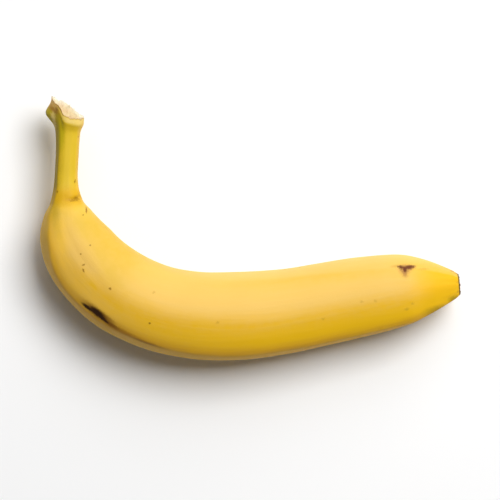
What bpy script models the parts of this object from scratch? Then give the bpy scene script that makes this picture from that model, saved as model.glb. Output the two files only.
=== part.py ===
"""A whole unpeeled banana lying on its side, as one closed solid.

The fruit is a loft. A spine turns through about a right angle, level with the table, and a
five-ridged section is carried along it from the torn crown to the blunt flower end. The spine's
heading and height, the section's size and the place of each ridge are short tables of stations
that a smooth curve joins. Lengths in the tables are millimetres, and the mesh is in metres.

A station is the distance along the spine from the crown. An angle round the section is measured
in degrees from straight up towards the outer side of the bend.
"""

import bpy
import numpy as np

MM = 0.001
LENGTH = 236.6

# Heading of the spine seen from above, in degrees from +X, at each station
HEADING = (
    (0, -88.5), (24, -93), (38, -88), (50.3, -79), (58.3, -67), (70.3, -50), (93.3, -27),
    (119.3, -7.5), (145.3, 4.5), (179.3, 11.3), (201.3, 9.8), (214.3, 8), (225.3, 4.8), (LENGTH, 4),
)
# Height of the spine over the table
SPINE_HEIGHT = (
    (0, 21), (40, 19.3), (56, 16.5), (72, 15.5), (90, 16.5), (124, 17.0), (166, 16.1), (190, 15.5),
    (204, 15.4), (LENGTH, 15.6),
)
# Half the width of the section, seen from above
HALF_WIDTH = (
    (0, 6.8), (3, 6.7), (6, 6.1), (11, 5.35), (20, 4.95), (28, 4.9), (34, 5.35), (41.3, 7.25), (45.6, 10.1),
    (54.2, 14.2), (62.8, 16.3), (76, 17.5), (90, 18.3), (108, 18.5), (124, 18.85), (140, 18.95),
    (166, 18.0), (183, 17.55), (200, 16.75), (213.3, 15.1), (221.9, 12.2), (230.5, 8.2), (234.8, 5.8),
    (LENGTH, 4.4),
)
# Height of the section as a share of its width
HEIGHT_SHARE = ((0, 1.0), (40, 1.0), (62, 0.95), (100, 0.925), (200, 0.935), (LENGTH, 1.0))

# Each ridge's angle round the section at some stations, in order round the fruit
RIDGE_ANGLE = (
    ((0, -125), (40, -128), (70, -138), (130, -130), (LENGTH, -118)),
    (
        (0, -42), (18, -48), (32, -55), (70, -60), (120, -57), (150, -54), (170, -50), (187, -44),
        (212, -38), (LENGTH, -36),
    ),
    ((0, -10), (45, -10), (65, -13), (74, -8), (84, 0), (124, 2), (157, 9), (LENGTH, 20)),
    (
        (0, 30), (10, 32), (18, 31), (28, 40), (36, 36), (44, 44), (50, 39), (56, 40), (64, 49), (72, 53),
        (100, 51), (118, 53), (150, 56), (181, 57), (210, 57), (222, 60), (LENGTH, 60),
    ),
    ((0, 112), (40, 112), (70, 113), (130, 130), (LENGTH, 140)),
)
# How far each ridge stands out of the round, as a share of the section's radius
RIDGE_STRENGTH = (
    ((0, 0.05), (40, 0.05), (90, 0.06), (LENGTH, 0.06)),
    ((0, 0.06), (30, 0.06), (60, 0.012), (100, 0.02), (150, 0.04), (190, 0.06), (215, 0.09), (LENGTH, 0.13)),
    ((0, 0.0), (48, 0.0), (58, 0.035), (95, 0.03), (150, 0.018), (200, 0.008), (LENGTH, 0)),
    (
        (0, 0.07), (25, 0.11), (60, 0.11), (80, 0.10), (110, 0.095), (190, 0.105), (205, 0.12), (215, 0.15),
        (225, 0.18), (LENGTH, 0.20),
    ),
    ((0, 0.05), (40, 0.08), (60, 0.11), (90, 0.09), (130, 0.06), (LENGTH, 0.06)),
)
# How many degrees of each crest are rounded off
RIDGE_ROUNDING = (
    ((0, 8), (60, 3), (LENGTH, 3)),
    ((0, 8), (60, 5), (150, 4), (190, 2.5), (LENGTH, 2.5)),
    ((0, 9), (60, 8), (LENGTH, 8)),
    ((0, 7), (40, 5), (70, 2), (LENGTH, 3)),
    ((0, 8), (60, 3), (LENGTH, 3)),
)
RIDGE_SPREAD = 18.0
# The side that the fruit lies on is a little flatter
UNDERSIDE_HOLLOW = 0.035
UNDERSIDE_SPREAD = 28.0

# The torn crown: how far each side of the rim stands past the end of the spine, by angle
RIM_RISE = (
    (-180, 0.0), (-135, -3.3), (-90, -5.2), (-40, -6.0), (0, -5.1), (15, -3.7), (24, -0.9), (32, 0.4),
    (45, 0.8), (60, 2.4), (80, 3.8), (105, 4.7), (135, 3.3), (180, 0.0),
)
RIM_REACH = 14.0
KNOB_STATION = 5.8
KNOB_LENGTH = 2.7
KNOB_ANGLE = 92.0
KNOB_SPREAD = 30.0
KNOB_OUT = 3.4

# Rings inside the rim: share of the rim's radius, and how far each stands past its plane
CROWN_RINGS = ((0.9, -0.1), (0.8, -0.6), (0.62, 0.2), (0.4, 0.9), (0.2, 1.1))
CROWN_MIDDLE = (-0.9, 1.2)
SCAR_RINGS = ((0.9, 0.15), (0.72, -0.7), (0.4, -0.8))
SCAR_MIDDLE = -0.3
SCAR_TILT = 0.02
SCAR_TILT_REACH = 16.0

COLUMNS_PER_FACE = 9
# Station where each stretch of rings ends, and the rings in it
STRETCHES = ((8, 8), (34, 13), (60, 17), (200, 34), (229, 12), (LENGTH, 7))

SKIN_COLOUR = (0.87, 0.50, 0.022, 1.0)
FLESH_COLOUR = (0.86, 0.66, 0.40, 1.0)
SCAR_COLOUR = (0.035, 0.022, 0.014, 1.0)


def smooth_curve(table, at):
    """Values at the places `at` on a cubic curve through the table's points that never overshoots them."""
    place, value = np.array(table, float).T
    gap = np.diff(place)
    slope = np.diff(value) / gap
    before, after = slope[:-1], slope[1:]
    turning = before * after <= 0
    weight_before = gap[:-1] + 2 * gap[1:]
    weight_after = 2 * gap[:-1] + gap[1:]
    parts = weight_before / np.where(turning, 1, before) + weight_after / np.where(turning, 1, after)
    inner = np.where(turning, 0, (weight_before + weight_after) / np.where(turning, 1, parts))
    tangent = np.concatenate(([slope[0]], inner, [slope[-1]]))
    span = np.clip(np.searchsorted(place, at, side="right") - 1, 0, len(gap) - 1)
    t = np.clip((at - place[span]) / gap[span], 0, 1)
    ease = t * t * (3 - 2 * t)
    bend_in = t * (1 - t) ** 2 * gap[span] * tangent[span]
    bend_out = -t * t * (1 - t) * gap[span] * tangent[span + 1]
    return value[span] + (value[span + 1] - value[span]) * ease + bend_in + bend_out


def spine(stations):
    """Points of the spine and its headings in radians: the heading summed up in short steps."""
    fine = np.linspace(0, LENGTH, 4000)
    heading = np.radians(smooth_curve(HEADING, fine))
    step = fine[1]
    x = np.cumsum(np.cos(heading)) * step
    y = np.cumsum(np.sin(heading)) * step
    z = smooth_curve(SPINE_HEIGHT, stations)
    points = np.stack((np.interp(stations, fine, x), np.interp(stations, fine, y), z), axis=-1)
    return points, np.interp(stations, fine, heading)


def column_angles(stations, per_face):
    """Angles round each section, as rows: evenly spaced between ridges, so that columns follow the ridges."""
    ridges = np.stack([smooth_curve(table, stations) for table in RIDGE_ANGLE], axis=-1)
    following = np.concatenate((ridges[:, 1:], ridges[:, :1] + 360), axis=1)
    share = np.arange(per_face) / per_face
    angles = ridges[:, :, None] + (following - ridges)[:, :, None] * share
    return angles.reshape(len(stations), -1)


def wrapped(angles):
    """The same angles between -180 and 180 degrees."""
    return (angles + 180) % 360 - 180


def ridged_radius(stations, angles):
    """Radius of the section, near 1: a circle with a rounded crest at each ridge that dies away."""
    radius = np.ones_like(angles)
    for place, strength, rounding in zip(RIDGE_ANGLE, RIDGE_STRENGTH, RIDGE_ROUNDING):
        away = wrapped(angles - smooth_curve(place, stations)[:, None])
        blunt = smooth_curve(rounding, stations)[:, None]
        rounded = np.sqrt(away**2 + blunt**2) - blunt
        radius += smooth_curve(strength, stations)[:, None] * np.exp(-rounded / RIDGE_SPREAD)
    from_below = wrapped(angles - 180) / UNDERSIDE_SPREAD
    return radius - UNDERSIDE_HOLLOW * np.exp(-(from_below**2))


def section(stations, angles):
    """Offsets out of the bend and up for each angle, fitted to the section's stated width and height."""
    whole_turn = np.broadcast_to(np.arange(-180.0, 180.0), (len(stations), 360))
    half_width = smooth_curve(HALF_WIDTH, stations)
    half_height = half_width * smooth_curve(HEIGHT_SHARE, stations)
    offsets = []
    for turn, half in ((np.sin, half_width), (np.cos, half_height)):
        reach = ridged_radius(stations, whole_turn) * turn(np.radians(whole_turn))
        low, high = reach.min(axis=1), reach.max(axis=1)
        here = ridged_radius(stations, angles) * turn(np.radians(angles))
        offsets.append((here - ((low + high) / 2)[:, None]) * (2 * half / (high - low))[:, None])
    return offsets


def skin_points(stations, per_face):
    """Points of the skin, one row for each station: spine, section, crown rise, knob and scar tilt."""
    centre, heading = spine(stations)
    angles = column_angles(stations, per_face)
    outward, upward = section(stations, angles)
    place = stations[:, None]

    knob_away = wrapped(angles - KNOB_ANGLE) / KNOB_SPREAD
    knob = KNOB_OUT * np.exp(-(((place - KNOB_STATION) / KNOB_LENGTH) ** 2) - knob_away**2)
    outward = outward + knob * np.sin(np.radians(angles))
    upward = upward + knob * np.cos(np.radians(angles))

    near_crown = np.clip(1 - place / RIM_REACH, 0, 1)
    rise = smooth_curve(RIM_RISE, wrapped(angles)) * near_crown**2 * (3 - 2 * near_crown)
    near_scar = np.clip(1 - (LENGTH - place) / SCAR_TILT_REACH, 0, 1)
    forward = SCAR_TILT * outward * near_scar - rise

    along = np.stack((np.cos(heading), np.sin(heading)), axis=-1)[:, None, :]
    out = np.stack((np.sin(heading), -np.cos(heading)), axis=-1)[:, None, :]
    flat = centre[:, None, :2] + out * outward[..., None] + along * forward[..., None]
    height = np.maximum(centre[:, None, 2] + upward, 0)
    return np.concatenate((flat, height[..., None]), axis=-1)


def crown_cap(rim):
    """Rings inside the torn rim and its middle point: a thin skin edge, a groove and raised flesh."""
    centre, heading = spine(np.zeros(1))
    back = -np.array((np.cos(heading[0]), np.sin(heading[0]), 0))
    sunk, raised = CROWN_MIDDLE
    middle = centre[0] + back * sunk
    rings = [middle + (rim - middle) * share + back * lift for share, lift in CROWN_RINGS]
    return rings, middle + back * raised


def scar_cap(rim):
    """Rings inside the flower end's rim and its middle point: a lip round a shallow dry hollow."""
    heading = spine(np.array([LENGTH]))[1][0]
    onward = np.array((np.cos(heading), np.sin(heading), 0))
    middle = rim.mean(axis=0)
    rings = [middle + (rim - middle) * share + onward * lift for share, lift in SCAR_RINGS]
    return rings, middle + onward * SCAR_MIDDLE


def ring_stations():
    """Stations of all the rings, closer together where the shape turns fast."""
    stations = [0.0]
    for end, count in STRETCHES:
        stations += list(np.linspace(stations[-1], end, count + 1)[1:])
    return np.array(stations)


def solid_mesh(rings, first_point, last_point):
    """A closed mesh through rings of equal length, with a fan to a point at each end."""
    count = len(rings[0])
    points = [first_point] + [point for ring in rings for point in ring] + [last_point]
    last = len(points) - 1
    final = 1 + (len(rings) - 1) * count
    faces = []
    for column in range(count):
        beside = (column + 1) % count
        faces.append((0, 1 + beside, 1 + column))
        for start in range(1, final, count):
            below = start + count
            faces.append((start + column, start + beside, below + beside, below + column))
        faces.append((final + column, final + beside, last))
    mesh = bpy.data.meshes.new("banana")
    mesh.from_pydata(np.array(points).tolist(), [], faces)
    return mesh


def material(name, colour, roughness):
    """A plain finish with one colour."""
    made = bpy.data.materials.new(name)
    made.use_nodes = True
    shader = made.node_tree.nodes["Principled BSDF"]
    shader.inputs["Base Color"].default_value = colour
    shader.inputs["Roughness"].default_value = roughness
    shader.inputs["Metallic"].default_value = 0.0
    made.diffuse_color = colour
    return made


def paint(mesh, first_skin_ring, last_skin_ring, ring_count, columns):
    """Gives the torn flesh and the dry scar their own materials. Faces lie in strips along the fruit."""
    for finish in (
        material("banana_skin", SKIN_COLOUR, 0.45),
        material("torn_flesh", FLESH_COLOUR, 0.8),
        material("dry_scar", SCAR_COLOUR, 0.9),
    ):
        mesh.materials.append(finish)
    strip = ring_count + 1
    for column in range(columns):
        for place in range(strip):
            polygon = mesh.polygons[column * strip + place]
            polygon.material_index = 1 if place <= first_skin_ring else 2 if place > last_skin_ring else 0


def build():
    """Makes the banana, centred over the origin and resting on the ground."""
    skin = skin_points(ring_stations(), COLUMNS_PER_FACE)
    crown_rings, crown_middle = crown_cap(skin[0])
    scar_rings, scar_middle = scar_cap(skin[-1])
    rings = crown_rings[::-1] + list(skin) + scar_rings
    corners = np.concatenate(rings)
    middle = (corners.min(axis=0) + corners.max(axis=0)) / 2
    shift = np.array((middle[0], middle[1], 0))
    rings = [(ring - shift) * MM for ring in rings]
    mesh = solid_mesh(rings, (crown_middle - shift) * MM, (scar_middle - shift) * MM)
    paint(mesh, len(crown_rings), len(crown_rings) + len(skin) - 1, len(rings), len(skin[0]))
    mesh.shade_smooth()
    mesh.set_sharp_from_angle(angle=np.radians(50))
    banana = bpy.data.objects.new("banana", mesh)
    bpy.context.scene.collection.objects.link(banana)


for old in list(bpy.data.objects):
    bpy.data.objects.remove(old, do_unlink=True)
build()
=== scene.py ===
"""Looks of a whole banana lying on its side: peel, torn crown and flower end, in soft studio light.

Shapes are worked out in millimetres in the fruit's own terms and turned into metres at the end.
A station is the distance along the spine from the crown. An angle round the section is in
degrees from straight up towards the outer side of the bend.
"""

import math

import bpy
import numpy as np
from mathutils import Matrix, Vector


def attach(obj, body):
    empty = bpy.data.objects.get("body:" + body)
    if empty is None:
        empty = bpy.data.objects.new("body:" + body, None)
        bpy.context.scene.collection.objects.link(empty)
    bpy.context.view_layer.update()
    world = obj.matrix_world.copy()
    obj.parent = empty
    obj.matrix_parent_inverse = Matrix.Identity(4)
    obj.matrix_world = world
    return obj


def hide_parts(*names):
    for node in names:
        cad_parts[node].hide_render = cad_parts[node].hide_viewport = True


MM = 0.001
LENGTH = 236.6

# Heading of the spine seen from above, in degrees from +X, at each station
HEADING = (
    (0, -88.5), (24, -93), (38, -88), (50.3, -79), (58.3, -67), (70.3, -50), (93.3, -27),
    (119.3, -7.5), (145.3, 4.5), (179.3, 11.3), (201.3, 9.8), (214.3, 8), (225.3, 4.8), (LENGTH, 4),
)
# Height of the spine over the table
SPINE_HEIGHT = (
    (0, 21), (40, 19.3), (56, 16.5), (72, 15.5), (90, 16.5), (124, 17.0), (166, 16.1), (190, 15.5),
    (204, 15.4), (LENGTH, 15.6),
)
# Half the width of the section, seen from above
HALF_WIDTH = (
    (0, 6.8), (3, 6.7), (6, 6.1), (11, 5.35), (20, 4.95), (28, 4.9), (34, 5.35), (41.3, 7.25), (45.6, 10.1),
    (54.2, 14.2), (62.8, 16.3), (76, 17.5), (90, 18.3), (108, 18.5), (124, 18.85), (140, 18.95),
    (166, 18.0), (183, 17.55), (200, 16.75), (213.3, 15.1), (221.9, 12.2), (230.5, 8.2), (234.8, 5.8),
    (LENGTH, 4.4),
)
# Height of the section as a share of its width
HEIGHT_SHARE = ((0, 1.0), (40, 1.0), (62, 0.95), (100, 0.925), (200, 0.935), (LENGTH, 1.0))

# Each ridge's angle round the section at some stations, in order round the fruit
RIDGE_ANGLE = (
    ((0, -125), (40, -128), (70, -138), (130, -130), (LENGTH, -118)),
    (
        (0, -42), (18, -48), (32, -55), (70, -60), (120, -57), (150, -54), (170, -50), (187, -44),
        (212, -38), (LENGTH, -36),
    ),
    ((0, -10), (45, -10), (65, -13), (74, -8), (84, 0), (124, 2), (157, 9), (LENGTH, 20)),
    (
        (0, 30), (10, 32), (18, 31), (28, 40), (36, 36), (44, 44), (50, 39), (56, 40), (64, 49), (72, 53),
        (100, 51), (118, 53), (150, 56), (181, 57), (210, 57), (222, 60), (LENGTH, 60),
    ),
    ((0, 112), (40, 112), (70, 113), (130, 130), (LENGTH, 140)),
)
# How far each ridge stands out of the round, as a share of the section's radius
RIDGE_STRENGTH = (
    ((0, 0.05), (40, 0.05), (90, 0.06), (LENGTH, 0.06)),
    ((0, 0.06), (30, 0.06), (60, 0.012), (100, 0.02), (150, 0.04), (190, 0.06), (215, 0.09), (LENGTH, 0.13)),
    ((0, 0.0), (48, 0.0), (58, 0.035), (95, 0.03), (150, 0.018), (200, 0.008), (LENGTH, 0)),
    (
        (0, 0.07), (25, 0.11), (60, 0.11), (80, 0.10), (110, 0.095), (190, 0.105), (205, 0.12), (215, 0.15),
        (225, 0.18), (LENGTH, 0.20),
    ),
    ((0, 0.05), (40, 0.08), (60, 0.11), (90, 0.09), (130, 0.06), (LENGTH, 0.06)),
)
# How many degrees of each crest are rounded off
RIDGE_ROUNDING = (
    ((0, 8), (60, 3), (LENGTH, 3)),
    ((0, 8), (60, 5), (150, 4), (190, 2.5), (LENGTH, 2.5)),
    ((0, 9), (60, 8), (LENGTH, 8)),
    ((0, 7), (40, 5), (70, 2), (LENGTH, 3)),
    ((0, 8), (60, 3), (LENGTH, 3)),
)
RIDGE_SPREAD = 18.0
# The side that the fruit lies on is a little flatter
UNDERSIDE_HOLLOW = 0.035
UNDERSIDE_SPREAD = 28.0

# The torn crown: how far each side of the rim stands past the end of the spine, by angle
RIM_RISE = (
    (-180, 0.0), (-135, -3.3), (-90, -5.2), (-40, -6.0), (0, -5.1), (15, -3.7), (24, -0.9), (32, 0.4),
    (45, 0.8), (60, 2.4), (80, 3.8), (105, 4.7), (135, 3.3), (180, 0.0),
)
RIM_REACH = 14.0
# The knob beside the crown: a bell-shaped swelling of the stem's outer side
KNOB_STATION = 5.8
KNOB_LENGTH = 2.7
KNOB_ANGLE = 92.0
KNOB_SPREAD = 30.0
KNOB_OUT = 3.4
# How far the flower end is tilted, as a share of the way out of the bend, and over how long a stretch
SCAR_TILT = 0.02
SCAR_TILT_REACH = 16.0

# A shallow crease beside the top ridge where the fruit bends
CREASE_ANGLE = ((0, 6), (52, 6), (58, 4), (66, 3), (74, 4), (80, 8), (88, 14), (LENGTH, 14))
CREASE_DEPTH = 0.16
CREASE_STATION = 69.0
CREASE_REACH = 13.0
CREASE_SPREAD = 6.0

# The fold across the foot of the stem, where it swings a little towards the crown, and the low roll before it
FOLD_STATION = 40.4
FOLD_DEPTH = 0.6
FOLD_WIDTH = 0.9
FOLD_ANGLE = -40.0
FOLD_SPREAD = 36.0
SWING_ANGLE = -62.0
SWING_SPREAD = 16.0
ROLL_SHARE = 0.6
ROLL_BEFORE = 2.1
ROLL_WIDTH = 1.4
# Low swells of the whole peel: their wavelengths, their height, and how much of it there is at each station
SWELL_SEED = 7
SWELL_WAVES = (19.0, 27.0, 38.0, 51.0, 66.0)
SWELL_HEIGHT = 0.03
SWELL_ALONG = ((0, 0.3), (50, 1), (215, 1), (LENGTH, 0.2))
# Ripples of the nose, the stem, the torn rim and the flower end, and where each comes in. A row gives how
# many waves there are round the fruit, how far they twist, their height and their phase
NOSE_WRINKLES = ((13, 0, 0.05, 0.4), (21, 0, 0.03, 1.9))
NOSE_ALONG = ((205, 0), (LENGTH, 1))
STEM_WRINKLES = ((7, 0.11, 0.03, 0), (12, -0.07, 0.03, 1.1))
STEM_WRINKLES_ALONG = ((0, 1), (34, 0.8), (58, 0))
RIM_TEARS = ((9, 0, 0.16, 0.6), (17, 0, 0.11, 2.1), (31, 0, 0.08, 4.0))
RIM_TEARS_REACH = 1.6
SCAR_TEETH = ((7, 0, 0.10, 1), (16, 6, 0.09, 0), (37, 0, 0.07, 2))
SCAR_RAGGED = ((0, 0), (0.06, 1), (0.2, 0.4), (1, 0))

# Rings of the fine peel: where each stretch ends, and how many rings it has
STRETCHES = ((6, 22), (34, 56), (62, 60), (205, 170), (228, 36), (LENGTH, 22))
COLUMNS_PER_FACE = 48
# Steps in which the spine is summed up, and the rings and columns that give the solid's footprint
SPINE_STEPS = 4000
COARSE_RINGS = 400
COARSE_PER_FACE = 9

# The crown's torn face: how far its middle is sunk, and how high it stands from the rim inwards
CROWN_MIDDLE_SUNK = -0.9
FLESH_LIFT = ((0, 0), (0.1, -0.1), (0.2, -0.6), (0.38, 0.2), (0.6, 0.9), (0.8, 1.1), (1, 1.2))
FLESH_ROWS = 48
# Lumps of the torn face: their heights, how close together they are, and where they come in past the rim
FLESH_LUMPS = (0.26, 0.24, 0.2, 0.17, 0.15, 0.12, 0.10, 0.09, 0.08, 0.07, 0.06, 0.05)
LUMP_SEED = 5
LUMP_CLOSENESS = 1.3
LUMP_START = 0.08
LUMP_SPAN = 0.125
# Torn fibres: how many, how fine, how far in from the rim they stand, how far they lean, a direction that
# their sides are taken from, and their sizes
FIBRE_SEED = 11
FIBRES = 40
FIBRE_RINGS = 6
FIBRE_SIDES = 6
FIBRE_SPREAD = (0.22, 0.95)
FIBRE_LEAN = 0.45
FIBRE_GUIDE = (0.3, 0.2, 1.0)
FIBRE_SUNK = 0.2
FIBRE_LENGTH = (0.4, 1.2)
FIBRE_RADIUS = (0.07, 0.16)
FIBRE_CURL = 0.35
FIBRE_TAPER = 0.75
# The flower end: how high it stands from the rim inwards, and its cracks, as waves that cross each other,
# with how many there are round it and how far they twist
SCAR_LIFT = ((0, 0), (0.1, 0.08), (0.28, -0.7), (0.6, -0.8), (1, -0.3))
SCAR_ROWS = 30
CRACK_DEPTH = 0.10
CRACK_WAVES = ((5, 17), (2, 25))

# How far each crest's own tint reaches to its sides, in degrees
CREST_WIDTH = 4.0
# Ridges whose crests are tinted
TINTED_RIDGES = (0, 3, 4)
# How strong each tint of the peel is along the fruit
# The painted sheen: a paler yellow painted as a highlight on the faces turned up and inwards
SHEEN_ALONG = ((0, 0.3), (40, 0.3), (48, 0.6), (60, 0.8), (205, 0.8), (222, 0.3), (LENGTH, 0.1))
# The deep tint: a deeper yellow, also made brighter as painted light on the band between the top and outer
# ridges
DEEP_ALONG = ((0, 0), (80, 0), (110, 0.5), (160, 0.9), (228, 0.9), (LENGTH, 0.4))
STEM_ALONG = ((0, 0.8), (30, 0.75), (40, 0.45), (50, 0.15), (62, 0))
# How much of the painted light on the sides that turn under lies on the inner side
INNER_ALONG = ((0, 0), (100, 0), (135, 0.6), (215, 0.6), (LENGTH, 0))
BEND_ALONG = ((0, 0), (44, 0), (52, 0.8), (78, 0.8), (95, 0.2), (110, 0), (LENGTH, 0))
# The lit tint is painted light: a lighter yellow on the face before the outer ridge, most where the fruit
# bends
LIT_ALONG = ((0, 0), (44, 0), (52, 0.9), (80, 0.9), (96, 0.4), (112, 0.3), (200, 0.3), (LENGTH, 0))
SHADE_ALONG = ((0, 0.1), (45, 0.1), (60, 0.25), (120, 0.4), (215, 0.4), (LENGTH, 0.1))
# The orange tint is painted shade: a band just past the inner ridge where the painted sheen is held back
ORANGE_SHADE_ALONG = ((0, 0), (110, 0), (150, 0.25), (180, 0.4), (205, 0.35), (222, 0), (LENGTH, 0))
# How far past the top ridge the painted sheen reaches, in degrees, and over how many degrees it fades there
SHEEN_REACH = ((0, 30), (45, 50), (62, 48), (72, 34), (82, 14), (95, 10), (110, 12), (150, 8), (LENGTH, 0))
SHEEN_FADE = 22.0
# Where the painted sheen starts on the far side of the fruit, and over how many degrees it comes in
SHEEN_START = (-150.0, 40.0)
# Tints as bells beside a ridge: how far past it in degrees, and how wide
DEEP_BESIDE = (6.0, 20.0)
LIT_BESIDE = (-19.0, 12.0)
SHADE_BESIDE = (-4.0, 7.0)
# How far past the top ridge the bend's tint ends, how many degrees it takes, and how many degrees the tints
# below the inner ridge take
BEND_PAST = 8.0
BEND_FADE = 16.0
BELOW_FADE = 5.0
ORANGE_SHADE_SPREAD = 16.0
# How much the painted sheen gives way to the orange painted shade, the stem's tint to the inner side and the
# sides' painted light to the stem
ORANGE_SHADE_OVER_SHEEN = 0.6
INNER_OVER_STEM = 0.6
INNER_OVER_STEM_SPAN = 25.0
OUTER_TINT = 0.6
STEM_OVER_OUTER = 0.5
# Where the sides' painted light starts on the inner and on the outer side, in degrees from straight up, over
# how many
# degrees it comes in, and where and how fast it ends underneath
INNER_START = 45.0
OUTER_START = 69.0
SIDE_SPAN = 28.0
UNDER_END = 140.0
UNDER_SPAN = 40.0

# Colours, as linear red, green and blue
YELLOW = (0.80, 0.455, 0.014, 1.0)
YELLOW_WARM = (0.81, 0.45, 0.020, 1.0)
# A paler yellow for the streaks and spots, also used as the painted sheen on the upper faces
YELLOW_PALE_AND_SHEEN = (0.79, 0.505, 0.125, 1.0)
YELLOW_BEND = (0.67, 0.42, 0.036, 1.0)
# A lighter yellow, painted as light
YELLOW_LIT = (0.94, 0.56, 0.065, 1.0)
# A deeper yellow, made brighter as painted light
YELLOW_DEEP_AND_PAINTED_LIGHT = (0.93, 0.54, 0.002, 1.0)
YELLOW_END = (0.815, 0.455, 0.006, 1.0)
# A paler yellow painted as light on the sides that turn under: the floor's bounce and its grazing reflection
YELLOW_PAINTED_SIDE_LIGHT = (0.92, 0.61, 0.17, 1.0)
# An orange painted as shade, where the sheen is held back
ORANGE_SHADE = (0.81, 0.45, 0.040, 1.0)
YELLOW_RIM = (0.80, 0.60, 0.19, 1.0)
OLIVE = (0.64, 0.455, 0.008, 1.0)
# Darker olive: partly the skin's own colour, partly painted shade
OLIVE_AND_PAINTED_SHADE = (0.28, 0.19, 0.002, 1.0)
FOLD_BROWN = (0.34, 0.18, 0.001, 1.0)
# Green of the skin near the crown, also used as painted shade
GREEN_AND_PAINTED_SHADE = (0.46, 0.36, 0.002, 1.0)
OCHRE = (0.50, 0.25, 0.02, 1.0)
# Darker gold at the neck: an ochre ring and painted shade
NECK_GOLD_AND_PAINTED_SHADE = (0.64, 0.36, 0.004, 1.0)
TAN = (0.95, 0.55, 0.13, 1.0)
BROWN = (0.17, 0.06, 0.002, 1.0)
# Warm brown along the outer ridge: slight browning and painted shade
RIDGE_BROWN_AND_PAINTED_SHADE = (0.58, 0.25, 0.008, 1.0)
BRUISE_BROWN = (0.36, 0.15, 0.012, 1.0)
BROWN_DARK = (0.05, 0.025, 0.012, 1.0)
SPECK = (0.29, 0.125, 0.001, 1.0)
RED_BROWN = (0.11, 0.022, 0.006, 1.0)
CORK = (0.34, 0.14, 0.05, 1.0)
BLACK = (0.024, 0.006, 0.0, 1.0)
CREAM = (0.75, 0.60, 0.31, 1.0)
CREAM_PALE = (0.84, 0.72, 0.48, 1.0)
FLESH_WHITE = (0.92, 0.88, 0.72, 1.0)
FLESH_TAN = (0.66, 0.40, 0.14, 1.0)
PINKISH = (0.75, 0.50, 0.27, 1.0)
FLOOR_COLOUR = (0.93, 0.93, 0.93, 1.0)

# Marks on the peel, as ovals: station, angle, half length, half width, and turn in degrees from along the
# fruit. The bruise has a black middle in a brown edge, with brown streaks that run on along the ridge. The
# brown marks and streaks at the lowest stations lie at the torn rim
BLACK_MARKS = (
    (81.6, 46.3, 2.8, 0.8, -4), (85.0, 43.4, 3.0, 1.45, 2), (87.4, 45.0, 2.0, 0.85, 12),
    (89.3, 46.6, 1.3, 0.45, 8),
)
BROWN_MARKS = (
    (85.4, 43.6, 5.4, 1.7, 4), (90.6, 46.6, 3.4, 1.0, 6), (0.2, 24, 0.8, 1.1, 0),
)
STREAK_MARKS = (
    (95.5, 48.2, 7.0, 1.0, 3), (104.5, 51.0, 6.5, 0.8, 4), (87.0, 42.5, 4.2, 1.2, 6), (3.3, 58, 0.9, 3.2, 0),
    (2.4, 40, 0.9, 1.4, 0),
)
# Small dark specks and nicks
SPECK_MARKS = (
    (84.2, 4, 0.55, 0.5, 0), (45.6, -55, 1.7, 0.5, 20), (47.9, -37, 0.4, 0.35, 0), (63.7, -19, 0.4, 0.35, 0),
    (64.8, 0, 0.35, 0.3, 0), (69.2, 6, 0.3, 0.7, 10), (70.9, 11, 0.8, 0.35, 20), (104.6, 22, 0.4, 0.45, 0),
    (32.2, -50, 0.9, 0.3, 15), (36.7, 34, 0.5, 0.4, 0), (13.0, -61, 0.4, 0.4, 0), (163.4, -78, 0.7, 0.3, 0),
    (170.3, -77, 0.5, 0.3, 0), (233.9, -68, 0.9, 0.45, 0), (235.7, -66, 1.0, 0.4, 0),
)
# The scar near the flower end: its dark strokes, and the corky peel round them
SCAR_MARKS = ((212.2, -37.8, 1.3, 0.85, 32), (215.7, -38.0, 2.1, 1.0, -4), (213.7, -34.0, 0.8, 1.3, 0))
CORK_MARKS = ((214.0, -35.0, 2.4, 1.8, 0), (213.4, -29.4, 1.1, 2.0, 0), (216.2, -36.0, 2.0, 1.0, -20))
# Faint brown blots
FAINT_MARKS = (
    (88.0, 46, 10.0, 2.2, 3), (91.0, 40.5, 2.2, 0.8, 10), (102.1, -19, 0.5, 0.5, 0), (131.8, 7, 0.6, 0.5, 0),
    (175.8, 19, 0.5, 0.5, 0), (193.3, 6, 0.6, 0.5, 0), (199.2, 9, 0.5, 0.5, 0), (212.1, 32, 0.9, 0.5, 0),
    (215.0, 25, 0.6, 0.5, 0), (210.0, -40, 1.8, 0.7, 0), (213.5, -31, 1.5, 2.4, 0), (40.5, -30, 0.7, 3.4, 0),
    (221.5, -36, 1.8, 0.35, 4), (235.9, -9, 0.5, 0.5, 0), (235.7, 38, 0.5, 0.6, 0),
)
# The dark fold where the stem meets the body, and soft patches of other tints, some of them painted shade
CREASE_MARKS = ((39.9, -46, 0.8, 1.5, 12), (40.7, -30, 0.5, 1.9, 0))
# A darker gold band beside the fold at the neck: an ochre ring, and painted shade of the fold
NECK_PATCHES = ((39.2, -18, 3.6, 8.5, 0),)
# Greener skin at the crown; the first patch is also painted shade where the crown's top turns to its darker
# side
GREEN_PATCHES = ((11.0, 25, 7.5, 1.3, 0), (6.0, 84, 3.2, 2.4, 0), (12.0, 40, 7.0, 0.8, 0))
# Painted shade on the stem's outer side, where the skin is also a darker olive, and on the nose's
# turned-under side
SHADE_PATCHES = ((24.0, 62, 24.0, 2.6, 0), (230.0, 80, 8.0, 2.4, 0), (234.2, 62, 2.6, 1.5, 0))
TAN_PATCHES = ((0.6, 70, 2.6, 4.2, 0), (0.2, 45, 1.2, 1.8, 0))
RIM_PATCHES = ((6.5, 60, 3.5, 0.8, 0), (1.0, -52, 2.6, 4.6, 0), (1.4, -15, 1.4, 4.5, 0))

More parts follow.
